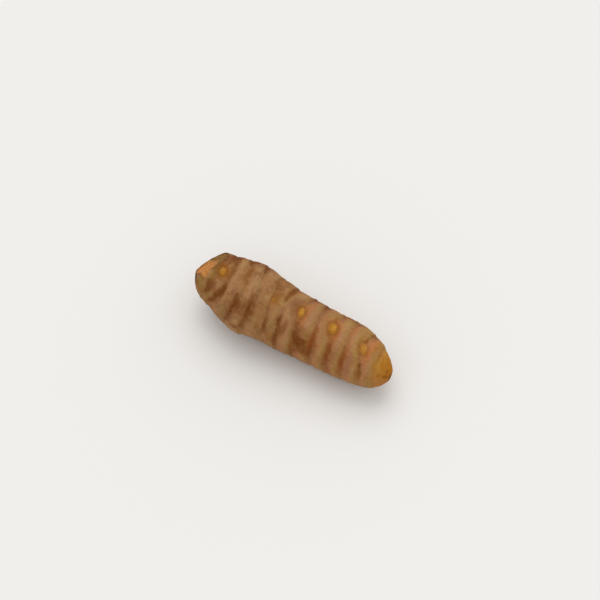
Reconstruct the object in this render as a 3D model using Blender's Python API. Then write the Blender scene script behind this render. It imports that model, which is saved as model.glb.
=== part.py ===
"""Fresh turmeric finger: one piece of rhizome, lying on a surface as it was broken off.

Metres, +Z up. +X runs along the root, from the broken base to the growing tip. The origin is on
the surface that the root lies on, under the middle of its bounding box.

A place on the skin is given by its station, the distance along X, and its angle round the root,
from the top (0) over the side at -Y (90 degrees) to the underside (180 degrees).
"""

import math
import random

import bmesh
import bpy
import numpy as np
from mathutils import Matrix, Vector

MM = 0.001
SEED = 7

# The whole root: a finger 76 mm long and 25 mm thick at its shoulder.
ROOT_LENGTH = 76 * MM
BASE_END = -ROOT_LENGTH / 2
TIP_END = ROOT_LENGTH / 2
# How far each end takes to round off, and how blunt it is (2 is a quarter of an ellipse).
BASE_DOME = 8.6 * MM
BASE_BLUNTNESS = 1.9
TIP_DOME = 15.5 * MM
TIP_BLUNTNESS = 2.1
# Thickness, as (station, radius): a narrow knob, a full shoulder, and a long even taper.
BODY_RADIUS = [
    (-38 * MM, 9.8 * MM),
    (-29.5 * MM, 9.4 * MM),
    (-23 * MM, 11.15 * MM),
    (-17 * MM, 12.25 * MM),
    (-10 * MM, 11.3 * MM),
    (0 * MM, 10.55 * MM),
    (13 * MM, 10.05 * MM),
    (20 * MM, 9.8 * MM),
    (27 * MM, 9.15 * MM),
    (38 * MM, 8.45 * MM),
]
# The centre line, as (station, value): it rests on the shoulder and on the thin half, with both
# ends lifted and the tip bent a little to the side at -Y.
SPINE_HEIGHT = [
    (-38 * MM, 13.9 * MM),
    (-17 * MM, 11.8 * MM),
    (0 * MM, 10.25 * MM),
    (17 * MM, 9.6 * MM),
    (28 * MM, 9.9 * MM),
    (38 * MM, 10.1 * MM),
]
SPINE_SIDE = [
    (-38 * MM, 1.1 * MM),
    (-28 * MM, 0.4 * MM),
    (-17 * MM, 0.2 * MM),
    (-3 * MM, 0.1 * MM),
    (8 * MM, 0.3 * MM),
    (20 * MM, 0.45 * MM),
    (29 * MM, -0.25 * MM),
    (38 * MM, -1.5 * MM),
]
# Slow swellings of the body, as (share of the radius, turns along the root, lobes round it).
SWELLS = [(0.012, 1.3, 2), (0.010, 2.6, 3), (0.008, 4.1, 1)]

# Leaf scars ring the root, one to each joint of its growth. Each as (station, lean, arch): it
# reaches further towards the tip by its lean at RING_LEAN_ANGLE, and by its arch over the side of
# RING_ARCH_ANGLE, where the bent base draws the rings together on its hollow side.
RINGS = [
    (-31.0 * MM, 0.3 * MM, 3.0 * MM),
    (-27.7 * MM, 0.2 * MM, 3.3 * MM),
    (-20.9 * MM, 1.6 * MM, 2.8 * MM),
    (-15.1 * MM, 1.3 * MM, 1.7 * MM),
    (-8.0 * MM, 1.6 * MM, 1.1 * MM),
    (-2.8 * MM, 1.4 * MM, 0.4 * MM),
    (4.1 * MM, 0.8 * MM, 0.0 * MM),
    (9.8 * MM, 1.6 * MM, 0.0 * MM),
    (16.0 * MM, 1.2 * MM, 0.2 * MM),
    (21.6 * MM, 1.4 * MM, 0.0 * MM),
    (28.2 * MM, 1.2 * MM, 0.0 * MM),
    (32.8 * MM, 1.2 * MM, 0.0 * MM),
]
RING_STATIONS = [station for station, _, _ in RINGS]
RING_HEIGHT = 0.34 * MM
RING_WIDTH = 0.42 * MM
GROOVE_DEPTH = 0.22 * MM
GROOVE_OFFSET = 0.75 * MM  # the groove lies on the side of the ring towards the tip
JOINT_BELLY = 0.16 * MM  # how much the skin swells between two rings
RING_LEAN_ANGLE = math.radians(112)
RING_ARCH_ANGLE = math.radians(15)
RING_WOBBLE = 0.28 * MM

# Buds sit in two ranks, in turn: one along the top, the other low at the back.
TOP_RANK_ANGLES = [math.radians(a) for a in (10, 34, 10, 5, 4, 8)]
LOW_RANK_ANGLES = [math.radians(a) for a in (224, 236, 228, 220)]
# Each top bud as (half length, half width, height); the second and third never grew out.
TOP_BUDS = [
    (1.5 * MM, 1.7 * MM, 0.9 * MM),
    (0.8 * MM, 0.9 * MM, 0.35 * MM),
    (0.8 * MM, 1.0 * MM, 0.35 * MM),
    (1.3 * MM, 2.1 * MM, 1.0 * MM),
    (1.7 * MM, 2.2 * MM, 1.2 * MM),
    (1.5 * MM, 2.0 * MM, 1.0 * MM),
]
LOW_BUD = (1.5 * MM, 2.0 * MM, 1.0 * MM)
BUD_AHEAD = 1.3 * MM  # a bud's middle, from its ring towards the tip
BUD_LEAN = math.radians(16)  # a bud leans towards the tip
BUD_SUNK = 0.6  # share of a bud's height that is under the skin
RING_DIP = 1.27  # a ring steps back this many half lengths of its bud to pass behind it
RING_DIP_ANGLE = math.radians(24)

# The base broke off the mother root on a flat, slanting face.
BREAK_NORMAL = Vector((-0.71, 0.24, 0.70)).normalized()
BREAK_CENTRE = Vector((-29 * MM, 0.8 * MM, 12.5 * MM))
BREAK_DEPTH = 7.1 * MM  # from that centre to the face

# Mesh density.
SIDES = 40
STATIONS_BY_A_RING = [x * MM for x in (-1.0, -0.42, 0.0, 0.4, 0.85, 1.5)]
LONGEST_STEP = 1.7 * MM
SHORTEST_STEP = 0.3 * MM
DOME_STEPS = 7
BUD_SIDES = 10
BUD_ROWS = 6

NEAR = 0.2 * MM  # how far apart two places are that show the slope of the skin

SKIN_COLOUR = (0.33, 0.165, 0.072, 1.0)
SKIN_ROUGHNESS = 0.6


def clear_scene():
    """Removes every object, so that the file holds only this part."""
    for obj in list(bpy.data.objects):
        bpy.data.objects.remove(obj, do_unlink=True)


def curve_through(points, x):
    """The smooth curve through (position, value) pairs, read at x."""
    at, value = np.array(points, float).T
    slope = np.gradient(value, at)
    i = np.clip(np.searchsorted(at, x) - 1, 0, len(at) - 2)
    span = at[i + 1] - at[i]
    t = np.clip((x - at[i]) / span, 0.0, 1.0)
    rise = value[i] * (1 + 2 * t) * (1 - t) ** 2 + value[i + 1] * t**2 * (3 - 2 * t)
    return rise + span * t * (1 - t) * (slope[i] * (1 - t) - slope[i + 1] * t)


def angle_between(a, b):
    """The turn from angle b to angle a, between -pi and pi."""
    return (a - b + math.pi) % (2 * math.pi) - math.pi


def ring_buds():
    """(ring number, angle round the root, half length, half width, height) of every bud."""
    top = [(2 * i, a, *bud) for i, (a, bud) in enumerate(zip(TOP_RANK_ANGLES, TOP_BUDS))]
    low = [(2 * i + 3, a, *LOW_BUD) for i, a in enumerate(LOW_RANK_ANGLES)]
    return top + low


def ring_shapes(angle):
    """How far each ring strays from its station at these angles: one row for each ring."""
    draw = random.Random(SEED)
    buds = {bud[0]: bud for bud in ring_buds()}
    rows = []
    for ring, (_, lean, arch) in enumerate(RINGS):
        turn = angle - RING_ARCH_ANGLE
        row = lean * np.cos(angle - RING_LEAN_ANGLE)
        row = row + arch * (np.cos(turn) + 0.5 * np.cos(2 * turn))
        for lobes in (2, 3, 5):
            phase = draw.uniform(0, 2 * math.pi)
            row = row + RING_WOBBLE / math.sqrt(lobes) * np.cos(lobes * angle + phase)
        if ring in buds:
            _, bud_angle, half_length, _, _ = buds[ring]
            off = angle_between(angle, bud_angle) / RING_DIP_ANGLE
            row = row - RING_DIP * half_length * np.exp(-(off**2))
        rows.append(row)
    return np.array(rows)


def strayed(station, angle):
    """Where the skin's point lies along X: its station, carried along with the nearest rings."""
    shapes = ring_shapes(angle)
    rings = np.array(RING_STATIONS)
    i = np.clip(np.searchsorted(rings, station) - 1, 0, len(rings) - 2)
    t = np.clip((station - rings[i]) / (rings[i + 1] - rings[i]), 0.0, 1.0)
    every = np.arange(len(angle))
    stray = shapes[i, every] * (1 - t) + shapes[i + 1, every] * t
    return station + stray * end_share(station)


def end_share(station):
    """1 along the body, falling smoothly to 0 at either end."""
    base = np.clip((station - BASE_END) / (RING_STATIONS[0] - BASE_END), 0.0, 1.0)
    tip = np.clip((TIP_END - station) / (TIP_END - RING_STATIONS[-1]), 0.0, 1.0)
    return np.sin(base * math.pi / 2) * np.sin(tip * math.pi / 2)


def dome(distance, depth, bluntness):
    """Share of full thickness at this distance from an end that rounds off over depth."""
    t = np.clip(distance / depth, 0.0, 1.0)
    return (1 - (1 - t) ** bluntness) ** (1 / bluntness)


def body_radius(x, angle):
    """The root's thickness without its rings."""
    radius = curve_through(BODY_RADIUS, x)
    for share, turns, lobes in SWELLS:
        wave = np.sin(turns * math.tau * x / ROOT_LENGTH + lobes * angle)
        radius = radius * (1 + share * wave)
    radius = radius * dome(x - BASE_END, BASE_DOME, BASE_BLUNTNESS)
    return radius * dome(TIP_END - x, TIP_DOME, TIP_BLUNTNESS)


def ring_relief(station):
    """Height of the rings, their grooves and the swelling between them."""
    relief = np.zeros_like(station)
    for ring in RING_STATIONS:
        relief += RING_HEIGHT * np.exp(-(((station - ring) / RING_WIDTH) ** 2))
        behind = (station - ring - GROOVE_OFFSET) / RING_WIDTH
        relief -= GROOVE_DEPTH * np.exp(-(behind**2))
    for before, after in zip(RING_STATIONS[:-1], RING_STATIONS[1:]):
        t = np.clip((station - before) / (after - before), 0.0, 1.0)
        relief += JOINT_BELLY * np.sin(math.pi * t)
    return relief * end_share(station)


def skin_points(station, angle):
    """Points of the skin at these stations and angles, before any flat is cut."""
    x = strayed(station, angle)
    radius = body_radius(x, angle) + ring_relief(station)
    y = curve_through(SPINE_SIDE, x) - radius * np.sin(angle)
    z = curve_through(SPINE_HEIGHT, x) + radius * np.cos(angle)
    return np.stack((x, y, z), axis=1)


def mesh_stations():
    """Stations for the rows of the mesh: close by each ring, round each dome, none too far apart."""
    rows = [BASE_END, TIP_END]
    for step in range(1, DOME_STEPS):
        turn = 1 - math.cos(step / DOME_STEPS * math.pi / 2)
        rows += [BASE_END + BASE_DOME * turn, TIP_END - TIP_DOME * turn]
    close = [ring + x for ring in RING_STATIONS for x in STATIONS_BY_A_RING]
    rows = [r for r in rows if all(abs(r - c) > SHORTEST_STEP for c in close)] + close
    rows = sorted(r for r in rows if BASE_END <= r <= TIP_END)
    filled = [rows[0]]
    for row in rows[1:]:
        gaps = max(1, round((row - filled[-1]) / LONGEST_STEP))
        start = filled[-1]
        filled += [start + (row - start) * k / gaps for k in range(1, gaps + 1)]
    return filled


def cut_flat(shape, point, outward):
    """Cuts away what lies beyond a plane and closes the shape there with flat faces."""
    everything = shape.verts[:] + shape.edges[:] + shape.faces[:]
    bmesh.ops.bisect_plane(
        shape, geom=everything, dist=1e-7, plane_co=point, plane_no=outward, clear_outer=True
    )
    rims = [edge for edge in shape.edges if edge.is_boundary]
    bmesh.ops.holes_fill(shape, edges=rims, sides=0)


def add_root(collection, material):
    """The rhizome: a sphere whose rows are drawn out along the root's stations."""
    stations = mesh_stations()
    last_row = len(stations) - 1
    sphere = bmesh.new()
    bmesh.ops.create_uvsphere(sphere, u_segments=SIDES, v_segments=last_row, radius=1)
    station, angle = [], []
    for vertex in sphere.verts:
        down = math.acos(max(-1.0, min(1.0, vertex.co.z)))
        station.append(stations[last_row - round(down / math.pi * last_row)])
        angle.append(math.atan2(vertex.co.y, vertex.co.x))
    points = skin_points(np.array(station), np.array(angle))
    for vertex, point in zip(sphere.verts, points):
        vertex.co = point
    cut_flat(sphere, BREAK_CENTRE + BREAK_NORMAL * BREAK_DEPTH, BREAK_NORMAL)
    cut_flat(sphere, Vector((0, 0, 0)), Vector((0, 0, -1)))
    bmesh.ops.recalc_face_normals(sphere, faces=sphere.faces)
    return add_object("turmeric_root", sphere, collection, material)


def add_object(name, shape, collection, material):
    """A named object from a bmesh, which is freed."""
    mesh = bpy.data.meshes.new(name)
    shape.to_mesh(mesh)
    shape.free()
    mesh.materials.append(material)
    obj = bpy.data.objects.new(name, mesh)
    collection.objects.link(obj)
    return obj


def frame_at(station, angle):
    """The skin's point there, with its outward normal and the direction towards the tip."""
    at = np.array([station, station + NEAR, station])
    round_at = np.array([angle, angle, angle + NEAR / BODY_RADIUS[0][1]])
    here, ahead, beside = (Vector(p) for p in skin_points(at, round_at))
    forward = (ahead - here).normalized()
    normal = (beside - here).cross(ahead - here).normalized()
    outward = Vector((0, -math.sin(angle), math.cos(angle)))
    return here, (normal if normal.dot(outward) > 0 else -normal), forward


def add_bud(number, bud, collection, material):
    """One bud: a blunt egg, sunk into the skin just ahead of its ring."""
    ring, angle, half_length, half_width, height = bud
    here, normal, forward = frame_at(RING_STATIONS[ring] + BUD_AHEAD, angle)
    side = normal.cross(forward).normalized()
    lean = Matrix.Rotation(BUD_LEAN, 3, side)
    axes = Matrix((lean @ forward, side, lean @ normal)).transposed().to_4x4()
    size = Matrix.Diagonal((half_length, half_width, height / (1 - BUD_SUNK), 1))
    depth = height * BUD_SUNK / (1 - BUD_SUNK)
    egg = bmesh.new()
    bmesh.ops.create_uvsphere(egg, u_segments=BUD_SIDES, v_segments=BUD_ROWS, radius=1)
    egg.transform(Matrix.Translation(here - normal * depth) @ axes @ size)
    bmesh.ops.recalc_face_normals(egg, faces=egg.faces)
    return add_object(f"bud_{number:02d}", egg, collection, material)


def join_all(root, others):
    """Joins a collection's objects to the root by one union, then removes them."""
    union = root.modifiers.new("buds", "BOOLEAN")
    union.operation = "UNION"
    union.operand_type = "COLLECTION"
    union.collection = others
    graph = bpy.context.evaluated_depsgraph_get()
    joined = bpy.data.meshes.new_from_object(root.evaluated_get(graph))
    root.modifiers.clear()
    root.data = joined
    for obj in list(others.objects):
        bpy.data.objects.remove(obj, do_unlink=True)
    bpy.data.collections.remove(others)


def skin_material():
    """Tan, slightly pink turmeric skin."""
    material = bpy.data.materials.new("turmeric_skin")
    material.use_nodes = True
    shader = material.node_tree.nodes["Principled BSDF"]
    shader.inputs["Base Color"].default_value = SKIN_COLOUR
    shader.inputs["Roughness"].default_value = SKIN_ROUGHNESS
    shader.inputs["Metallic"].default_value = 0.0
    return material


def main():
    clear_scene()
    scene = bpy.context.scene.collection
    finger = bpy.data.collections.new("turmeric_finger")
    buds = bpy.data.collections.new("buds")
    scene.children.link(finger)
    scene.children.link(buds)
    material = skin_material()
    root = add_root(finger, material)
    for number, bud in enumerate(ring_buds()):
        add_bud(number, bud, buds, material)
    join_all(root, buds)
    root.data.shade_smooth()
    root.data.set_sharp_from_angle(angle=math.radians(50))


main()
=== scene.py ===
"""Looks for one finger of fresh turmeric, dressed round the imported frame.

Metres, +Z up, +X from the snapped base to the growing tip. A place on the skin is given by its
station, which follows the leaf scars along the root, and by its angle round the root: 0 at the
top, 90 degrees at the side at -Y, 180 degrees underneath.
"""

import math
import random

import bmesh
import bpy
import numpy as np
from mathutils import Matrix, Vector, noise


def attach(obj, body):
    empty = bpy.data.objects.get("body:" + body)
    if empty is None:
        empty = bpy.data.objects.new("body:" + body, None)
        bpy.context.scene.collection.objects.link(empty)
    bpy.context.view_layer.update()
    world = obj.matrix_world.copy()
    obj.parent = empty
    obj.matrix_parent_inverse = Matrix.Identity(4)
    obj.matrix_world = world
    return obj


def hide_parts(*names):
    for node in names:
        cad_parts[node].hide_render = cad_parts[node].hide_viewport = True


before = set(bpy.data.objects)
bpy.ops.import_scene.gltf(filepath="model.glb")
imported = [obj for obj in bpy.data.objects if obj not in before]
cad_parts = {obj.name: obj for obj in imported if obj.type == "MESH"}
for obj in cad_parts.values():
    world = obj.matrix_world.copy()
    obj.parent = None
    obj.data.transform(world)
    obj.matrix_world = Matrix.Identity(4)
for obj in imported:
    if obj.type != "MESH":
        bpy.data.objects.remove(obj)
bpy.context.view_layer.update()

MM = 0.001

# Form. The values down to BREAK_DEPTH repeat the source of the solid.
SEED = 7
ROOT_LENGTH = 76 * MM
BASE_END = -ROOT_LENGTH / 2
TIP_END = ROOT_LENGTH / 2
BASE_DOME = 8.6 * MM
BASE_BLUNTNESS = 1.9
TIP_DOME = 15.5 * MM
TIP_BLUNTNESS = 2.1
# The body's radius and its spine's height and side, each as (x, value).
BODY_RADIUS = [
    (-38 * MM, 9.8 * MM),
    (-29.5 * MM, 9.4 * MM),
    (-23 * MM, 11.15 * MM),
    (-17 * MM, 12.25 * MM),
    (-10 * MM, 11.3 * MM),
    (0 * MM, 10.55 * MM),
    (13 * MM, 10.05 * MM),
    (20 * MM, 9.8 * MM),
    (27 * MM, 9.15 * MM),
    (38 * MM, 8.45 * MM),
]
SPINE_HEIGHT = [
    (-38 * MM, 13.9 * MM),
    (-17 * MM, 11.8 * MM),
    (0 * MM, 10.25 * MM),
    (17 * MM, 9.6 * MM),
    (28 * MM, 9.9 * MM),
    (38 * MM, 10.1 * MM),
]
SPINE_SIDE = [
    (-38 * MM, 1.1 * MM),
    (-28 * MM, 0.4 * MM),
    (-17 * MM, 0.2 * MM),
    (-3 * MM, 0.1 * MM),
    (8 * MM, 0.3 * MM),
    (20 * MM, 0.45 * MM),
    (29 * MM, -0.25 * MM),
    (38 * MM, -1.5 * MM),
]
# Slow swells of the body, each as (share of the radius, waves along, lobes round).
SWELLS = [(0.012, 1.3, 2), (0.010, 2.6, 3), (0.008, 4.1, 1)]
# Leaf scars, each as (station, lean, arch): how far its loop swings along X at RING_LEAN_ANGLE, and
# how strongly it bows at RING_ARCH_ANGLE.
RINGS = [
    (-31.0 * MM, 0.3 * MM, 3.0 * MM),
    (-27.7 * MM, 0.2 * MM, 3.3 * MM),
    (-20.9 * MM, 1.6 * MM, 2.8 * MM),
    (-15.1 * MM, 1.3 * MM, 1.7 * MM),
    (-8.0 * MM, 1.6 * MM, 1.1 * MM),
    (-2.8 * MM, 1.4 * MM, 0.4 * MM),
    (4.1 * MM, 0.8 * MM, 0.0 * MM),
    (9.8 * MM, 1.6 * MM, 0.0 * MM),
    (16.0 * MM, 1.2 * MM, 0.2 * MM),
    (21.6 * MM, 1.4 * MM, 0.0 * MM),
    (28.2 * MM, 1.2 * MM, 0.0 * MM),
    (32.8 * MM, 1.2 * MM, 0.0 * MM),
]
RING_STATIONS = np.array([ring[0] for ring in RINGS])
RING_LEAN_ANGLE = math.radians(112)
RING_ARCH_ANGLE = math.radians(15)
RING_WOBBLE = 0.28 * MM
JOINT_BELLY = 0.16 * MM  # how far the skin swells between two leaf scars
# The buds: one on every second leaf scar along the top, and one low at the back on four of the leaf
# scars between, each as (half length, half width, height).
TOP_RANK_ANGLES = [math.radians(a) for a in (10, 34, 10, 5, 4, 8)]
LOW_RANK_ANGLES = [math.radians(a) for a in (224, 236, 228, 220)]
TOP_BUDS = [
    (1.5 * MM, 1.7 * MM, 0.9 * MM),
    (0.8 * MM, 0.9 * MM, 0.35 * MM),
    (0.8 * MM, 1.0 * MM, 0.35 * MM),
    (1.3 * MM, 2.1 * MM, 1.0 * MM),
    (1.7 * MM, 2.2 * MM, 1.2 * MM),
    (1.5 * MM, 2.0 * MM, 1.0 * MM),
]
LOW_BUD = (1.5 * MM, 2.0 * MM, 1.0 * MM)
BUD_AHEAD = 1.3 * MM
RING_DIP = 1.27  # how far a leaf scar steps back behind its bud, in the bud's half lengths
RING_DIP_ANGLE = math.radians(24)
BREAK_NORMAL = Vector((-0.71, 0.24, 0.70)).normalized()
BREAK_CENTRE = Vector((-29 * MM, 0.8 * MM, 12.5 * MM))
BREAK_DEPTH = 7.1 * MM

# Fine surface.
ROWS = 400
SIDES = 190
ROW_CROWDING = 1.3  # how many more rows a leaf scar has, as a share of the rows elsewhere
CROWDED_WITHIN = 0.9 * MM
SKIN_RADIUS = 10 * MM  # one radius for the width of every mark
LEDGE_HEIGHT = 0.22 * MM
LEDGE_RISE = 1.6 * MM
LEDGE_DROP = 0.7 * MM
LEDGE_OVERHANG = 0.05 * MM
LEDGE_RAGGED = 0.25 * MM
GROOVE_DEPTH = 0.1 * MM
LUMP_HEIGHT = 0.16 * MM
MOTTLE_HEIGHT = 0.05 * MM
PIMPLE_HEIGHT = 0.03 * MM
FIBRE_HEIGHT = 0.05 * MM
WRINKLE_HEIGHT = 0.045 * MM
ROOT_SCAR_RIM = 0.13 * MM
ROOT_SCAR_DIMPLE = 0.12 * MM
# Where the scale leaves round the tip's end bud step down, measured back from the tip.
TIP_STEPS = (3.1 * MM, 1.55 * MM, 0.6 * MM)
TIP_STEP_HEIGHT = 0.12 * MM
TIP_STEP_LEAN_ANGLE = math.radians(70)

# Buds. The first four are shares of a bud's own height.
BUD_BODY = 0.74
BUD_NOSE = 0.18
BUD_MOAT = 0.16
BUD_LEAN = 0.25
BUD_TILT = 0.3  # how far a bud's long axis turns from the root's
BUD_RIM_HEIGHT = 0.12 * MM
TOP_BUD_AMBER = [0.8, 0.05, 0.35, 0.95, 1.0, 0.8]  # how amber each is; the second never grew out
LOW_BUD_AMBER = 0.55

# The break. Part of its face is still bare flesh, and the rest has dried to a brown callus. The
# flesh's middle and half size are given sideways and up the face, the middle from the point on the
# face at BREAK_DEPTH along BREAK_NORMAL from BREAK_CENTRE.
FLESH_CENTRE = (2.4 * MM, -0.3 * MM)
FLESH_SIZE = (4.0 * MM, 7.2 * MM)
FLESH_END = -30.6 * MM  # about where the last of the flesh gives way to skin, along X
PEELED = (-33.2, 18, 2.9, 4.2)  # the skin that came off beside it, as a mark without a strength
FACE_SUNK = 0.2 * MM
FACE_HOLLOW = 0.3 * MM
FACE_FIBRE = 0.12 * MM
FACE_HUMP = 0.25 * MM
FACE_RING = 0.14 * MM
TORN_EDGE = 0.25 * MM
LIP_HEIGHT = 0.12 * MM

# The brown band along each leaf scar: its strength towards -Y, its strength towards +Y, how far past
# the scar's edge it lies, and its half width.
RING_BANDS = [
    (0.80, 0.40, 0.0 * MM, 1.2 * MM),
    (0.90, 1.00, -0.2 * MM, 1.4 * MM),
    (0.80, 0.90, 0.4 * MM, 1.4 * MM),
    (0.90, 0.80, 0.6 * MM, 1.2 * MM),
    (0.45, 0.50, 0.4 * MM, 1.1 * MM),
    (1.00, 0.80, 0.8 * MM, 1.3 * MM),
    (0.80, 0.50, 0.9 * MM, 1.3 * MM),
    (0.80, 0.75, 0.9 * MM, 1.3 * MM),
    (0.70, 0.50, 1.2 * MM, 1.5 * MM),
    (0.65, 0.65, 0.8 * MM, 1.0 * MM),
    (0.38, 0.60, 0.4 * MM, 0.8 * MM),
    (0.15, 0.10, 0.4 * MM, 0.8 * MM),
]
# Where round the root those strengths hold, and the one underneath, each as (angle, spread).
LOW_BAND = (math.radians(60), math.radians(36))
HIGH_BAND = (math.radians(-48), math.radians(30))
BACK_BAND = (math.radians(195), math.radians(80))
BACK_BAND_SHARE = 0.45  # the strength underneath, as a share of the other two together
BAND_FAINTEST = 0.14  # the strength between them

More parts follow.
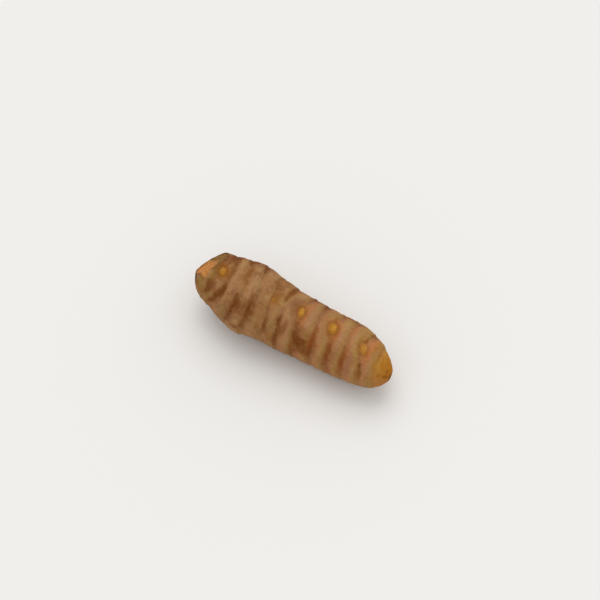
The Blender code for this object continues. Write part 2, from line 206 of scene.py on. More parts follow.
# Marks on the side that the photograph shows, as (x in mm, angle in degrees, half length and half
# width in mm, strength). Each list has the name of its mask in the material.
SHOWN_MARKS = {
    # Brown stains, most along the bands, and painted shade along the top edge.
    "stain_and_shade": [
        (-35.9, 50, 1.2, 3.2, 0.9),
        (-35.0, 68, 1.8, 3.0, 0.6),
        (-30.2, -44, 1.2, 4.0, 0.5),
        (-29.4, 47, 1.0, 2.4, 0.8),
        (-26.6, -14, 2.2, 2.6, 0.6),
        (-26.4, 9, 2.8, 3.4, 0.4),
        (-26.2, -42, 2.4, 5.0, 1.0),
        (-24.0, -16, 0.9, 2.8, 0.7),
        (-23.3, 4, 0.8, 3.4, 0.5),
        (-23.0, 38, 0.9, 2.8, 0.8),
        # Painted shade on the top edge.
        (-19.8, -48, 2.0, 4.4, 1.0),
        (-18.0, -8, 1.0, 2.6, 0.5),
        (-16.6, 44, 2.2, 2.4, 0.75),
        (-16.4, 31, 1.0, 2.0, 0.4),
        # Painted shade on the top edge.
        (-15.0, -54, 1.4, 3.4, 0.8),
        (-14.4, 46, 1.2, 2.8, 0.6),
        (-11.8, 48, 1.6, 3.2, 0.8),
        (-9.4, -40, 0.8, 3.0, 0.5),
        (-7.0, -38, 3.6, 3.0, 0.3),
        (-6.4, -8, 1.0, 2.4, 0.4),
        (-6.2, -2, 1.6, 3.0, 0.3),
        (-5.3, 58, 1.0, 2.6, 0.5),
        (-3.2, -28, 1.0, 5.4, 0.8),
        (0.8, 0, 1.8, 3.4, 0.45),
        (0.8, 43, 1.0, 2.6, 0.6),
        (4.6, 26, 1.0, 1.8, 0.6),
        (4.9, 90, 1.2, 3.2, 0.7),
        # Painted shade on the top edge.
        (5.2, -56, 2.8, 2.2, 0.6),
        (5.8, 42, 1.8, 3.0, 0.55),
        (5.8, 74, 1.8, 3.2, 0.55),
        (7.6, 56, 2.8, 2.4, 1.0),
        (8.0, 38, 2.6, 2.2, 0.4),
        (8.8, 66, 2.8, 2.6, 0.8),
        # Painted shade on the top edge.
        (9.3, -50, 1.1, 3.6, 0.9),
        (9.4, 50, 3.4, 3.8, 0.35),
        (11.0, 36, 1.1, 4.0, 0.6),
        (14.6, -18, 0.7, 2.0, 0.6),
        # Painted shade on the top edge.
        (16.8, -54, 1.2, 2.4, 0.5),
        (17.5, 40, 1.0, 1.6, 0.7),
        # Painted shade on the top edge.
        (21.6, -50, 1.1, 3.2, 0.6),
        (27.0, -14, 0.6, 2.0, 0.6),
        (28.6, -46, 0.8, 4.0, 0.6),
        (28.9, 43, 0.7, 1.2, 0.7),
        (37.2, 42, 0.7, 2.0, 0.6),
    ],
    # Dull mauve patches, most of them on the base half.
    "mauve": [
        (-20.6, 24, 1.4, 4.4, 0.7),
        (-19.6, -28, 1.8, 4.0, 0.6),
        (-10.6, 66, 1.6, 2.4, 0.8),
        (-10.5, 20, 1.6, 3.6, 0.6),
        (-9.4, -8, 1.4, 3.2, 0.6),
        (-5.0, 24, 1.0, 2.4, 0.6),
        (-1.8, 28, 1.3, 3.4, 0.8),
        (-1.0, -1, 1.3, 2.6, 0.6),
        (0.4, -8, 2.2, 4.0, 1.0),
        (2.2, 16, 1.2, 2.6, 0.7),
        (9.9, -6, 1.2, 4.0, 0.7),
        (16.3, -30, 1.0, 2.6, 0.5),
        (20.0, 44, 1.2, 2.6, 0.5),
        (25.2, 60, 1.4, 4.6, 0.9),
    ],
    # Dark olive patches, most of them just before a leaf scar.
    "moss": [
        (-32.6, 54, 1.6, 3.0, 1.0),
        (-30.8, -22, 0.7, 2.4, 0.9),
        (-30.3, -38, 0.9, 3.6, 0.9),
        (-29.7, 0, 0.9, 3.0, 1.0),
        (-28.9, 24, 0.9, 3.6, 1.0),
        (-28.6, 66, 1.2, 3.4, 0.7),
        (-21.2, 68, 1.4, 3.6, 0.5),
        (21.4, 30, 0.6, 2.4, 0.5),
        (29.7, 66, 0.6, 4.0, 0.9),
        (32.4, -38, 0.9, 2.4, 0.5),
        (33.0, 32, 0.8, 1.3, 0.7),
    ],
    # Where the skin is worn pale.
    "pale": [
        (-28.2, 22, 0.8, 2.0, 0.5),
        (-27.6, 18, 0.8, 2.2, 0.5),
        (-25.1, 27, 1.2, 2.2, 0.9),
        (-24.6, 48, 0.8, 2.2, 0.5),
        (-22.0, 62, 1.6, 3.0, 0.6),
        (-21.6, -20, 1.2, 3.0, 0.7),
        (-21.2, 14, 1.2, 4.4, 0.7),
        (-16.6, -26, 1.2, 3.0, 0.5),
        (-15.2, 8, 1.0, 3.6, 0.9),
        (-14.3, 26, 0.9, 2.4, 0.8),
        (-13.0, 4, 1.2, 3.0, 1.0),
        (-10.6, 66, 1.6, 2.4, 0.6),
        (-4.2, 42, 1.3, 3.0, 0.7),
        (-2.0, 36, 0.8, 2.6, 0.6),
        (-0.2, 17, 1.8, 3.2, 0.9),
        (0.2, -34, 1.4, 3.4, 0.6),
        (7.8, 4, 1.2, 3.6, 0.8),
        (12.6, 8, 1.0, 3.0, 0.6),
        (19.2, 2, 1.3, 5.0, 0.6),
        (24.0, 8, 1.2, 4.0, 0.5),
        (27.4, 66, 0.9, 3.0, 0.5),
        (31.9, 10, 0.8, 4.6, 0.6),
        (32.0, 40, 0.9, 2.8, 0.7),
        (33.0, 50, 1.2, 4.0, 0.4),
        (33.2, 80, 1.2, 3.4, 0.6),
    ],
    # Rosy skin, most of it past the buds and near the tip.
    "rose": [
        (5.6, -18, 0.9, 1.8, 0.4),
        (11.4, 44, 0.8, 2.4, 0.5),
        (17.9, 6, 0.8, 2.6, 0.9),
        (21.6, -18, 0.8, 3.0, 0.6),
        (29.9, 2, 1.1, 3.6, 1.0),
        (30.2, -22, 1.4, 4.4, 1.0),
    ],
    # Light olive patches.
    "olive": [
        (-22.4, -22, 1.2, 3.0, 0.8),
        (-10.2, 22, 1.4, 3.0, 1.0),
        (-10.0, 62, 1.4, 2.6, 0.8),
        (-5.6, -2, 1.0, 2.2, 0.7),
        (-4.2, 42, 1.4, 3.2, 1.0),
        (-1.5, -17, 1.6, 3.4, 1.0),
        (5.8, -42, 1.0, 3.0, 0.7),
        (12.2, -24, 1.0, 3.0, 0.9),
        (18.2, -34, 1.2, 3.6, 1.0),
        (24.0, -30, 1.3, 4.8, 1.0),
    ],
    # Pink stretches between the leaf scars of the tip's half.
    "pink": [
        (10.5, 34, 1.0, 5.6, 0.9),
        (13.2, 6, 0.8, 2.6, 0.8),
        (13.3, -2, 0.8, 2.2, 0.8),
        (17.0, 10, 0.8, 2.6, 0.7),
        (18.6, 20, 1.4, 3.8, 1.0),
        (21.0, 22, 1.2, 3.0, 0.6),
        (24.8, 55, 1.4, 5.4, 1.0),
        (30.4, 72, 1.4, 3.6, 0.8),
        (30.6, 36, 1.5, 6.0, 1.0),
        (32.2, 70, 1.0, 4.0, 0.8),
    ],
    # Pale pink patches.
    "blush": [
        (-18.6, 24, 1.2, 2.6, 0.6),
        (-14.4, 20, 1.2, 3.4, 0.7),
        (2.6, 34, 1.2, 5.0, 0.8),
        (7.8, 6, 1.3, 4.8, 1.0),
        (19.4, 8, 1.2, 4.0, 0.9),
    ],
    # Tawny patches.
    "tawny": [
        (-26.3, 6, 3.0, 3.4, 1.0),
        (-18.0, -5, 1.8, 3.2, 0.6),
        (-8.4, 38, 1.6, 3.0, 0.4),
        (-6.0, 6, 2.2, 3.0, 0.8),
        (-3.4, 76, 1.2, 2.4, 0.7),
        (-3.2, -26, 1.2, 4.4, 0.6),
        (9.4, 78, 1.6, 2.0, 0.8),
    ],
    # Red-brown lengths of the bands of the tip's half.
    "russet": [
        (4.4, 70, 0.9, 3.4, 0.5),
        (10.9, 46, 1.0, 5.6, 0.9),
        (17.3, 48, 1.2, 5.0, 0.7),
        (22.8, 58, 1.3, 6.6, 0.9),
        (28.9, 66, 1.0, 4.0, 0.6),
    ],
    # Rusty specks on the golden tip.
    "rust": [
        (35.4, 48, 0.8, 1.6, 0.7),
        (36.9, 8, 0.35, 2.6, 0.8),
        (37.2, 44, 0.7, 2.0, 0.9),
    ],
    # The dark edge of the broken face, and the scar of the end bud.
    "scab": [
        (-36.4, 58, 1.5, 3.8, 0.85),
        (38.0, 60, 0.14, 30, 0.8),
    ],
}
ROOT_SCAR_MARKS = [(-17.5, 35, 0.9, 1.0, 1.0)]
# How many more of each mark the rest of the skin has, with the ranges of its half length and half
# width in mm and of its strength.
HIDDEN_ROOT_SCARS = (22, (0.55, 0.85), (0.55, 0.85), (0.7, 1))
HIDDEN_MARKS = {
    "stain_and_shade": (16, (1, 3), (2.5, 5), (0.4, 0.9)),
    "mauve": (10, (1.2, 2.4), (3, 6), (0.5, 1)),
    "moss": (8, (0.7, 1.6), (2, 4), (0.4, 1)),
    "pale": (14, (0.9, 1.8), (2, 4.4), (0.4, 0.9)),
    "rose": (6, (0.7, 1.4), (1.6, 3), (0.4, 1)),
}
HIDDEN_REACH = 32  # how far either way along X they go, in mm
HIDDEN_ANGLES = (112, 296)  # how far round the root they go, in degrees

# Studio. The camera looks down on the root from the side at -Y and the tip.
CAMERA_AZIMUTH = math.radians(31)
CAMERA_ELEVATION = math.radians(57)
CAMERA_DISTANCE = 0.4763
CAMERA_LENS = 85.0
SENSOR_WIDTH = 36.0
FRAME_PIXELS = 600
ROOT_CENTRE = Vector((0, 0, 11.5 * MM))
ROOT_CENTRE_PIXEL = (293.0, 320.9)
SKY_STRENGTH = 0.86
SUN_STRENGTH = 0.85
SUN_SPREAD = math.radians(50)
SUN_DIRECTION = Vector((0.35, -0.45, -1.0))
FLOOR_RADIUS = 6.0
FLOOR_GAP = 0.1 * MM


def srgb(red, green, blue):
    """A linear colour from the 0 to 255 values that a picture shows."""
    parts = [value / 255 for value in (red, green, blue)]
    linear = [p / 12.92 if p <= 0.04045 else ((p + 0.055) / 1.055) ** 2.4 for p in parts]
    return (*linear, 1.0)


TAN_LIGHT = srgb(168, 127, 79)
TAN_DARK = srgb(146, 105, 64)
PINK = srgb(173, 116, 78)
MAUVE = srgb(143, 98, 70)
ROSE = srgb(192, 117, 62)
OLIVE = srgb(161, 123, 71)
OLIVE_DARK = srgb(140, 107, 40)
PALE = srgb(172, 136, 91)
YOUNG = srgb(187, 137, 81)
BLOTCH = srgb(122, 78, 40)
TAWNY = srgb(150, 97, 38)
BLUSH = srgb(172, 122, 92)
BROWN = srgb(112, 60, 14)
RUSSET = srgb(142, 77, 32)
# The dark line at a leaf scar's edge: partly the scar's own colour, partly painted shade under the
# ledge.
EDGE_LINE_AND_SHADE = srgb(96, 52, 18)
HALO = srgb(150, 92, 34)
AMBER_RIM = srgb(170, 110, 32)
AMBER = srgb(186, 137, 52)
GOLD_LIGHT = srgb(182, 131, 46)
GOLD_DARK = srgb(168, 104, 12)
RUST = srgb(136, 78, 14)
FLESH_LIGHT = srgb(198, 138, 74)
FLESH_DARK = srgb(176, 108, 54)
CALLUS_LIGHT = srgb(142, 104, 48)
CALLUS_DARK = srgb(106, 70, 26)
SCAB = srgb(66, 42, 18)
FLOOR_COLOUR = (0.80, 0.80, 0.80, 1.0)


def curve_through(points, x):
    """The smooth curve through (position, value) pairs, read at x."""
    at, value = np.array(points, float).T
    slope = np.gradient(value, at)
    i = np.clip(np.searchsorted(at, x) - 1, 0, len(at) - 2)
    span = at[i + 1] - at[i]
    t = np.clip((x - at[i]) / span, 0.0, 1.0)
    rise = value[i] * (1 + 2 * t) * (1 - t) ** 2 + value[i + 1] * t**2 * (3 - 2 * t)
    return rise + span * t * (1 - t) * (slope[i] * (1 - t) - slope[i + 1] * t)


def angle_between(a, b):
    """The turn from angle b to angle a, between -pi and pi."""
    return (a - b + math.pi) % (2 * math.pi) - math.pi


def smooth(low, high, x):
    """0 below low, 1 above high, and a smooth step between them."""
    t = np.clip((x - low) / (high - low), 0.0, 1.0)
    return t * t * (3 - 2 * t)


def bump_at(x, centre, width):
    """A smooth bell, 1 at its centre."""
    return np.exp(-(((x - centre) / width) ** 2))


def ring_buds():
    """(ring number, angle, half length, half width, height) of every bud."""
    top = [(2 * i, a, *bud) for i, (a, bud) in enumerate(zip(TOP_RANK_ANGLES, TOP_BUDS))]
    low = [(2 * i + 3, a, *LOW_BUD) for i, a in enumerate(LOW_RANK_ANGLES)]
    return top + low


def ring_shapes(angle):
    """How far each ring strays from its station at these angles: one row for each ring."""
    draw = random.Random(SEED)
    buds = {bud[0]: bud for bud in ring_buds()}
    rows = []
    for ring, (_, lean, arch) in enumerate(RINGS):
        turn = angle - RING_ARCH_ANGLE
        row = lean * np.cos(angle - RING_LEAN_ANGLE)
        row = row + arch * (np.cos(turn) + 0.5 * np.cos(2 * turn))
        for lobes in (2, 3, 5):
            phase = draw.uniform(0, 2 * math.pi)
            row = row + RING_WOBBLE / math.sqrt(lobes) * np.cos(lobes * angle + phase)
        if ring in buds:
            _, bud_angle, half_length, _, _ = buds[ring]
            off = angle_between(angle, bud_angle) / RING_DIP_ANGLE
            row = row - RING_DIP * half_length * np.exp(-(off**2))
        rows.append(row)
    return np.array(rows)


def end_share(station):
    """1 along the body, falling smoothly to 0 at either end."""
    base = np.clip((station - BASE_END) / (RING_STATIONS[0] - BASE_END), 0.0, 1.0)
    tip = np.clip((TIP_END - station) / (TIP_END - RING_STATIONS[-1]), 0.0, 1.0)
    return np.sin(base * math.pi / 2) * np.sin(tip * math.pi / 2)


def strayed(station, angle):
    """Where the skin's point lies along X: its station, carried along with the nearest rings."""
    shapes = ring_shapes(angle)
    i = np.clip(np.searchsorted(RING_STATIONS, station) - 1, 0, len(RING_STATIONS) - 2)
    t = (station - RING_STATIONS[i]) / (RING_STATIONS[i + 1] - RING_STATIONS[i])
    t = np.clip(t, 0.0, 1.0)
    every = np.arange(len(angle))
    stray = shapes[i, every] * (1 - t) + shapes[i + 1, every] * t
    return station + stray * end_share(station)


def dome(distance, depth, bluntness):
    """Share of full thickness at this distance from an end that rounds off over depth."""
    t = np.clip(distance / depth, 0.0, 1.0)
    return (1 - (1 - t) ** bluntness) ** (1 / bluntness)


def body_radius(x, angle):
    """The root's thickness without its rings."""
    radius = curve_through(BODY_RADIUS, x)
    for share, turns, lobes in SWELLS:
        wave = np.sin(turns * math.tau * x / ROOT_LENGTH + lobes * angle)
        radius = radius * (1 + share * wave)
    radius = radius * dome(x - BASE_END, BASE_DOME, BASE_BLUNTNESS)
    return radius * dome(TIP_END - x, TIP_DOME, TIP_BLUNTNESS)


def body_points(station, angle):
    """Points of the bare body at these stations and angles."""
    x = strayed(station, angle)
    radius = body_radius(x, angle)
    y = curve_through(SPINE_SIDE, x) - radius * np.sin(angle)
    z = curve_through(SPINE_HEIGHT, x) + radius * np.cos(angle)
    return np.stack((x, y, z), axis=1)


def noise_at(points, size, seed, octaves=2):
    """Smooth noise, about -1 to 1, with features of about this size, at each point."""
    shift = np.array((seed * 17.3, seed * 5.7, seed * 11.1))
    return np.array([noise.fractal(p, 1.0, 2.0, octaves) for p in points / size + shift])


def row_stations():
    """Shares of the way from pole to pole, and the station at each: close rows at leaf scars."""
    half = ROOT_LENGTH / 2
    x = -half * np.cos(np.linspace(0, math.pi, 8001))
    radius = body_radius(x, 0.0)
    step = np.hypot(np.diff(x), np.diff(radius))
    middle = (x[1:] + x[:-1]) / 2
    crowd = sum(bump_at(middle, ring, CROWDED_WITHIN) for ring in RING_STATIONS)
    travelled = np.concatenate(([0.0], np.cumsum(step * (1 + ROW_CROWDING * crowd))))
    return travelled / travelled[-1], x


def places_of(sphere):
    """The station and angle of each vertex of a unit sphere with its poles on Z."""
    share, x = row_stations()
    co = np.array([v.co.normalized() for v in sphere.verts])
    down = np.arccos(np.clip(co[:, 2], -1.0, 1.0))
    return np.interp(1 - down / math.pi, share, x), np.arctan2(co[:, 1], co[:, 0])


def refine_near_buds(sphere):
    """Splits the faces round each bud in four."""
    station, angle = places_of(sphere)
    near = np.zeros(len(station), bool)
    for ring, at, half_length, half_width, _ in ring_buds():
        along = (station - RING_STATIONS[ring] - BUD_AHEAD) / (half_length * 1.7)
        across = angle_between(angle, at) * SKIN_RADIUS / (half_width * 1.6)
        near |= np.hypot(along, across) < 1
    sphere.verts.ensure_lookup_table()
    chosen = {face for i in np.nonzero(near)[0] for face in sphere.verts[i].link_faces}
    edges = {edge for face in chosen for edge in face.edges}
    bmesh.ops.subdivide_edges(sphere, edges=list(edges), cuts=1, use_grid_fill=True)


def hidden_marks(draw, count, lengths, widths, strengths):
    """Marks at random on the sides that the photograph doesn't show, in the form of SHOWN_MARKS."""
    ranges = ((-HIDDEN_REACH, HIDDEN_REACH), HIDDEN_ANGLES, lengths, widths, strengths)
    return [tuple(draw.uniform(*ends) for ends in ranges) for _ in range(count)]


class Skin:
    """The skin's points with what the relief and the colours are worked out from."""

    def __init__(self, station, angle):
        self.station = station
        self.angle = angle
        self.points = body_points(station, angle)
        self.x = self.points[:, 0].copy()
        # Noise is read on the body as if its spine were straight, so that it closes round it.
        radius = body_radius(self.x, angle)[:, None]
        turned = np.stack((np.sin(angle), np.cos(angle)), axis=1) * radius
        self.place = np.column_stack((station, turned))
        along = self.place * (0.25, 1, 1)
        across = self.place * (1, 0.25, 0.25)
        self.lumps = noise_at(self.place, 6 * MM, 1)
        self.mottle = noise_at(self.place, 2.2 * MM, 2, 3)
        self.fine = noise_at(self.place, 0.9 * MM, 3, 2)
        self.lengthwise = noise_at(along, 0.8 * MM, 4, 2)
        self.crosswise = noise_at(across, 0.7 * MM, 5, 2)
        self.ragged = noise_at(self.place, 1.3 * MM, 6, 2)
        self.patchy = noise_at(self.place, 9 * MM, 7, 2)
        self.wander = self.mottle + 0.5 * self.fine
        self.base_half = 1 - smooth(-8 * MM, 6 * MM, self.x)
        draw = random.Random(SEED)
        self.root_scars = ROOT_SCAR_MARKS + hidden_marks(draw, *HIDDEN_ROOT_SCARS)
        self.marks = dict(SHOWN_MARKS)
        for name, rule in HIDDEN_MARKS.items():
            self.marks[name] = SHOWN_MARKS[name] + hidden_marks(draw, *rule)

    def ring_distance(self, ring):
        """How far each point is past a ring's ragged edge, towards the tip."""
        return self.station - RING_STATIONS[ring] + LEDGE_RAGGED * self.ragged

    def mark_reach(self, mark):
        """Distance of each point from a mark's middle, in shares of its size."""
        along = (self.x / MM - mark[0]) / mark[2]
        turned = angle_between(self.angle, math.radians(mark[1]))
        return np.hypot(along, turned * SKIN_RADIUS / MM / mark[3])

    def mark_mask(self, marks, wander=0.45):
        """How far each point is inside the marks, 0 to 1, with edges that wander."""
        inside = np.zeros(len(self.x))
        for mark in marks:
            reach = self.mark_reach(mark) + wander * self.wander
            inside = np.maximum(inside, mark[4] * (1 - smooth(0.3, 1.4, reach)))
        return inside

    def bud_reach(self, bud):
        """Distance along and across a bud, and from its middle, in shares of its size."""
        ring, at, half_length, half_width, _ = bud
        here = np.array([RING_STATIONS[ring] + BUD_AHEAD]), np.array([at])
        along = (self.x - strayed(*here)[0]) / half_length
        radius = body_radius(self.x, self.angle)
        across = angle_between(self.angle, at) * radius / half_width
        along = along - BUD_TILT * across
        return along, across, np.hypot(along, across)


def ledge_profile(distance):
    """The height of a leaf scar: a slow rise, a sharp edge towards the tip, then a groove."""
    rise = smooth(-LEDGE_RISE, 0.0, distance) ** 1.6
    fall = 1 - smooth(0.0, LEDGE_DROP, distance)
    groove = bump_at(distance, 1.6 * LEDGE_DROP, 1.1 * LEDGE_DROP)
    return LEDGE_HEIGHT * rise * fall, GROOVE_DEPTH * groove


def skin_relief(skin):
    """How far each point stands out of the bare body, and how far it leans to the tip."""
    out = LUMP_HEIGHT * skin.lumps + MOTTLE_HEIGHT * skin.mottle + PIMPLE_HEIGHT * skin.fine
    out += FIBRE_HEIGHT * skin.lengthwise + WRINKLE_HEIGHT * skin.crosswise
    lean = np.zeros(len(out))
    ends = end_share(skin.station)
    strength = np.clip(0.8 + 0.7 * skin.patchy, 0.3, 1.3)
    for ring in range(len(RING_STATIONS)):
        distance = skin.ring_distance(ring)
        ledge, groove = ledge_profile(distance)
        out += (ledge * strength - groove) * np.sqrt(ends)
        lean += LEDGE_OVERHANG * bump_at(distance, 0.0, 0.35 * MM) * ends
    for before, after in zip(RING_STATIONS[:-1], RING_STATIONS[1:]):
        share = np.clip((skin.station - before) / (after - before), 0.0, 1.0)
        out += JOINT_BELLY * np.sin(math.pi * share)
    return out, lean


def bud_relief(skin):
    """The buds: each a dome with a nose towards the tip, in a moat with a rim."""
    out = np.zeros(len(skin.x))
    lean = np.zeros(len(skin.x))
    for bud in ring_buds():
        height = bud[4]
        along, across, reach = skin.bud_reach(bud)
        reach = reach * (1 + 0.05 * skin.fine)
        body = np.clip(1 - reach**2, 0.0, 1.0) ** 0.85
        nose = np.clip(1 - np.hypot((along - 0.3) / 0.5, across / 0.5) ** 2, 0.0, 1.0) ** 0.7
        moat = bump_at(reach, 1.16, 0.2)
        rim = bump_at(reach, 1.5, 0.2) * (0.65 - 0.35 * np.clip(along / 1.5, -1, 1))
        out += height * (BUD_BODY * body + BUD_NOSE * nose) - BUD_MOAT * height * moat
        out += BUD_RIM_HEIGHT * rim
        lean += BUD_LEAN * height * body
    return out, lean


def root_scar_relief(skin):
    """Small round scars of shed rootlets: a low rim round a dimple."""
    out = np.zeros(len(skin.x))
    for mark in skin.root_scars:
        reach = skin.mark_reach(mark)
        rim, dimple = bump_at(reach, 0.95, 0.3), bump_at(reach, 0.0, 0.55)
        out += ROOT_SCAR_RIM * rim - ROOT_SCAR_DIMPLE * dimple
    return out


def snap_base(points, skin):
    """Cuts the base off at the break and roughens the face. Also gives its masks."""
    normal = np.array(BREAK_NORMAL)
    face = np.array(BREAK_CENTRE) + normal * BREAK_DEPTH
    sideways = np.cross((0, 0, 1), normal)
    sideways /= np.linalg.norm(sideways)
    upward = np.cross(normal, sideways)
    beyond = (points - face) @ normal
    torn = smooth(0.0, TORN_EDGE, beyond)
    flat = points - np.maximum(beyond, 0.0)[:, None] * normal
    across = ((flat - face) @ sideways - FLESH_CENTRE[0]) / FLESH_SIZE[0]
    along = ((flat - face) @ upward - FLESH_CENTRE[1]) / FLESH_SIZE[1]
    fibres = noise_at(flat, 0.5 * MM, 11, 2)
    humps = noise_at(flat, 2.4 * MM, 12, 2)
    reach = np.hypot(across, along) * (1 + 0.22 * humps + 0.06 * fibres)
    flesh = flesh_mask(flat, torn, reach, skin)
    ring = bump_at(reach, 0.72, 0.08)
    depth = FACE_SUNK + FACE_FIBRE * fibres + FACE_HUMP * humps + FACE_RING * ring
    depth = depth + FACE_HOLLOW * (1 - smooth(0.3, 1.05, reach))
    flat -= (torn * depth)[:, None] * normal
    lip = bump_at(beyond, -0.25 * MM, 0.3 * MM) * (1 - torn)
    flat += (lip * LIP_HEIGHT * (1 + skin.fine))[:, None] * normal
    scab = 0.7 * bump_at(beyond, 0.0, 0.35 * MM) * (1 - flesh)
    masks = {"torn": torn, "flesh": flesh, "flesh_ring": flesh * ring, "scab": scab}
    return flat, masks


def flesh_mask(flat, torn, reach, skin):
    """Where bare orange flesh shows: on part of the broken face, and where the skin has peeled."""
    bare = torn * (1 - smooth(0.7, 1.25, reach))
    peeled = 1 - smooth(0.75, 1.15, skin.mark_reach(PEELED) + 0.15 * skin.wander)
    end = FLESH_END - 1.0 * MM * np.cos(skin.angle + math.radians(50)) + 0.4 * MM * skin.wander
    kept = 1 - smooth(-0.7 * MM, 0.7 * MM, flat[:, 0] - end)
    return np.maximum(bare, peeled) * kept


def tip_relief(skin):
    """The growing tip: low steps of closed scale leaves round a small end bud."""
    left = TIP_END - skin.x
    turn = skin.angle - TIP_STEP_LEAN_ANGLE
    wave = 0.25 * MM * np.cos(turn) + 0.12 * MM * skin.ragged
    out = np.zeros(len(left))
    for at in TIP_STEPS:
        out += TIP_STEP_HEIGHT * (1 - smooth(-0.35 * MM, 0.2 * MM, left + wave - at))
    return out


def make_surface():
    """The root's fine mesh, closed, with its masks in vertex attributes."""
    sphere = bmesh.new()
    bmesh.ops.create_uvsphere(sphere, u_segments=SIDES, v_segments=ROWS, radius=1)
    refine_near_buds(sphere)
    station, angle = places_of(sphere)
    mesh = bpy.data.meshes.new("turmeric_skin")
    sphere.to_mesh(mesh)
    sphere.free()
    skin = Skin(station, angle)
    mesh.vertices.foreach_set("co", skin.points.ravel())
    mesh.update()
    normals = np.zeros(len(station) * 3)
    mesh.vertex_normals.foreach_get("vector", normals)
    normals = normals.reshape(-1, 3)
    if (normals * (skin.points - skin.points.mean(axis=0))).sum() < 0:
        mesh.flip_normals()
        normals = -normals
    forward = np.array((1.0, 0, 0)) - normals * normals[:, :1]

    out, lean = skin_relief(skin)
    bud_out, bud_lean = bud_relief(skin)
    out += bud_out + root_scar_relief(skin) + tip_relief(skin)
    lean += bud_lean
    points = skin.points + normals * out[:, None] + forward * lean[:, None]
    points, break_masks = snap_base(points, skin)
    points[:, 2] = np.maximum(points[:, 2], 0.0)
    mesh.vertices.foreach_set("co", points.ravel())
    mesh.update()
    store_masks(mesh, skin, break_masks)
    mesh.shade_smooth()
    return mesh


def band_strength(skin, low, high):
    """How strong a leaf scar's brown band is at each point: faint along the top."""
    strength = BAND_FAINTEST * (1 - 0.7 * skin.base_half)
    back = BACK_BAND_SHARE * (low + high)
    for share, (at, spread) in [(low, LOW_BAND), (high, HIGH_BAND), (back, BACK_BAND)]:
        strength = np.maximum(strength, share * bump_at(angle_between(skin.angle, at), 0, spread))
    uneven = 1 + 0.5 * skin.patchy + 0.6 * skin.mottle + 0.9 * skin.base_half * skin.lumps
    return np.clip(1.15 * strength * uneven * (1 - 0.12 * skin.base_half), 0, 1)


def joint_masks(skin):
    """The pink and then the olive that each joint of growth shows between its leaf scars."""
    olive = np.zeros(len(skin.x))
    pink = np.zeros(len(skin.x))
    edges = [BASE_END - 4 * MM, *RING_STATIONS, TIP_END + 4 * MM]
    for before, after in zip(edges[:-1], edges[1:]):
        phase = (skin.station + LEDGE_RAGGED * skin.ragged - before) / (after - before)
        inside = (phase >= 0) & (phase < 1)
        phase = phase + 0.12 * skin.wander
        olive += inside * smooth(0.45, 0.95, phase) * np.clip(0.65 + 0.6 * skin.patchy, 0.1, 1)
        pink += inside * smooth(0.0, 0.25, phase) * (1 - smooth(0.4, 0.8, phase))
    kept = 1 - 0.55 * skin.base_half
    return {"olive": olive * kept, "pink": pink * kept}


def leaf_scar_masks(skin):
    """Each leaf scar's brown band, the thin dark line at its edge and the olive seam before it."""
    band = np.zeros(len(skin.x))
    line = np.zeros(len(skin.x))
    seam = np.zeros(len(skin.x))
    for ring, (low, high, ahead, half_width) in enumerate(RING_BANDS):
        strength = band_strength(skin, low, high)
        distance = skin.ring_distance(ring) + 0.6 * MM * skin.mottle
        band = np.maximum(band, strength * bump_at(distance, ahead, half_width))
        # The dark line just past the edge, where the ledge drops: partly the scar's own colour,
        # partly painted shade.
        edge = bump_at(skin.ring_distance(ring), 0.25 * MM, 0.4 * MM)
        line = np.maximum(line, edge * strength * np.clip(0.5 + 0.9 * skin.fine, 0, 1))
        seam = np.maximum(seam, bump_at(distance, -0.9 * MM, 0.7 * MM))
    seam = seam * np.clip(0.5 + 0.9 * skin.lumps + 0.5 * skin.fine, 0, 1)
    seam = seam * (1 - 0.7 * skin.base_half)
    ends = end_share(skin.station)
    return {"band": band * ends, "line": line * ends, "seam": seam * ends}


def bud_masks(skin):
    """The buds' colours: an amber bud, brighter to its middle, a brown ring and a rosy rim."""
    bud = np.zeros(len(skin.x))
    heart = np.zeros(len(skin.x))
    halo = np.zeros(len(skin.x))
    rim = np.zeros(len(skin.x))
    for shape in ring_buds():
        amber = TOP_BUD_AMBER[shape[0] // 2] if shape[0] % 2 == 0 else LOW_BUD_AMBER
        along, _, reach = skin.bud_reach(shape)
        reach = reach + 0.1 * skin.wander
        bud = np.maximum(bud, amber * (1 - smooth(0.6, 1.3, reach)))
        heart = np.maximum(heart, amber**2 * (1 - smooth(0.1, 0.9, reach)))
        halo = np.maximum(halo, amber**2 * bump_at(reach, 1.3, 0.38))
        rosy = (0.2 + 0.8 * amber) * (0.45 + 0.3 * np.clip(along, -1, 1))
        rim = np.maximum(rim, rosy * bump_at(reach, 1.7, 0.35))
    return {"bud": bud, "heart": heart, "halo": halo, "rim": rim}


def tip_masks(skin):
    """How young the skin is, the golden tip, and the darker gold at its very end, by x in mm."""
    x = skin.x / MM
    start = 33.6 - 1.0 * np.cos(skin.angle + math.radians(5))
    low_side = bump_at(angle_between(skin.angle, math.radians(85)), 0, math.radians(40))
    gold = smooth(-2.2, 2.6, x - start + 0.9 * skin.wander) * (1 - 0.4 * low_side)
    return {"young": smooth(4, 22, x), "gold": gold, "end": smooth(34, 37.5, x)}


